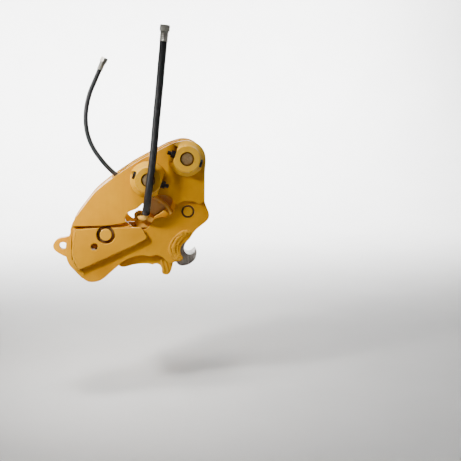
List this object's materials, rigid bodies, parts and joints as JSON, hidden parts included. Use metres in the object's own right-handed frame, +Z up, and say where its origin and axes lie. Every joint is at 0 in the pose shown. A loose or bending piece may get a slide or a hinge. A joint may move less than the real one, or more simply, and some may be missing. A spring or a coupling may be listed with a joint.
{
  "type": "hydraulic quick coupler",
  "caption": "Pin-on hydraulic quick coupler: paired ear plates with two top pins, fixed rear hooks and a cylinder-driven moving hook that grip an attachment's pins.",
  "frame": {"origin": "centre of the arm pin, on the middle plane between the side plates", "axes": "+Z up as the coupler hangs, +Y along the pins towards the far plate, +X towards the moving hook's mouth"},
  "size_m": [0.3995, 0.1838, 0.637],
  "materials": {
    "yellow_paint": "worn gloss paint",
    "bare_forging": "bare forged steel, worn bright in the seat",
    "pin_steel": "passivated steel with a golden cast, turned face",
    "bright_steel": "machined steel",
    "bronze": "bearing bronze",
    "black_bolt": "black oxide",
    "hose_rubber": "satin hose cover",
    "fitting_steel": "zinc plated",
    "seal_rubber": "black seal"
  },
  "bodies": {
    "frame": {"arm_boss_left": "yellow_paint", "arm_boss_right": "yellow_paint", "arm_pin": "pin_steel", "arm_pin_bolt": "black_bolt", "arm_pin_nut": "black_bolt", "base_pin_rings": "bright_steel", "base_spacers": "yellow_paint", "cross_bar": "yellow_paint", "cylinder_base_pin": "yellow_paint", "ear_doubler_left": "yellow_paint", "ear_doubler_right": "yellow_paint", "fixed_hook_left": "yellow_paint", "fixed_hook_right": "yellow_paint", "front_tie_plate": "yellow_paint", "guard_plate": "yellow_paint", "hook_pivot_pin": "yellow_paint", "lifting_eye": "yellow_paint", "link_boss_left": "yellow_paint", "link_boss_right": "yellow_paint", "link_pin": "pin_steel", "link_pin_bolt": "black_bolt", "link_pin_nut": "black_bolt", "lower_doubler_left": "yellow_paint", "lower_doubler_right": "yellow_paint", "lower_rear_plate": "yellow_paint", "nose_plate": "yellow_paint", "pivot_pin_rings": "bright_steel", "pivot_spacers": "yellow_paint", "side_plate_left": "yellow_paint", "side_plate_right": "yellow_paint", "upper_rear_plate": "yellow_paint"},
    "hook": {"moving_hook": "bare_forging", "hook_bush": "bronze", "rod_eye_pin": "bright_steel"},
    "cylinder": {"cylinder_base": "yellow_paint", "base_bush": "bronze", "cylinder_barrel": "yellow_paint", "port_block": "yellow_paint", "gland": "yellow_paint", "rod_wiper": "seal_rubber", "return_elbow": "yellow_paint", "return_port_boss": "yellow_paint", "return_nut": "fitting_steel", "return_ferrule": "fitting_steel", "return_hose": "hose_rubber", "return_top_ferrule": "fitting_steel", "return_top_nut": "fitting_steel", "pressure_hose": "hose_rubber", "pressure_ferrule": "fitting_steel", "pressure_tail": "fitting_steel", "pressure_top_ferrule": "fitting_steel", "pressure_top_nut": "fitting_steel"},
    "rod": {"piston_rod": "bright_steel", "piston": "bright_steel", "piston_seal": "seal_rubber"}
  },
  "joints": [
    {"name": "hook_swing", "type": "hinge", "parent": "frame", "child": "hook", "pos_m": [0.003, 0, -0.1364], "axis": [0, 1, 0], "range_deg": [0, 18]},
    {"name": "cylinder_tilt", "type": "hinge", "parent": "frame", "child": "cylinder", "pos_m": [-0.206, 0, -0.1906], "axis": [0, -1, 0], "range_deg": [0, 0.9]},
    {"name": "rod_stroke", "type": "slide", "parent": "cylinder", "child": "rod", "axis": [-0.9998, 0, -0.0222], "range_m": [0, 0.01525]}
  ],
  "couplings": [
    {"joint": "cylinder_tilt", "follows": "hook_swing", "ratio": 0.04882},
    {"joint": "rod_stroke", "follows": "hook_swing", "m_per_rad": 0.048395}
  ]
}
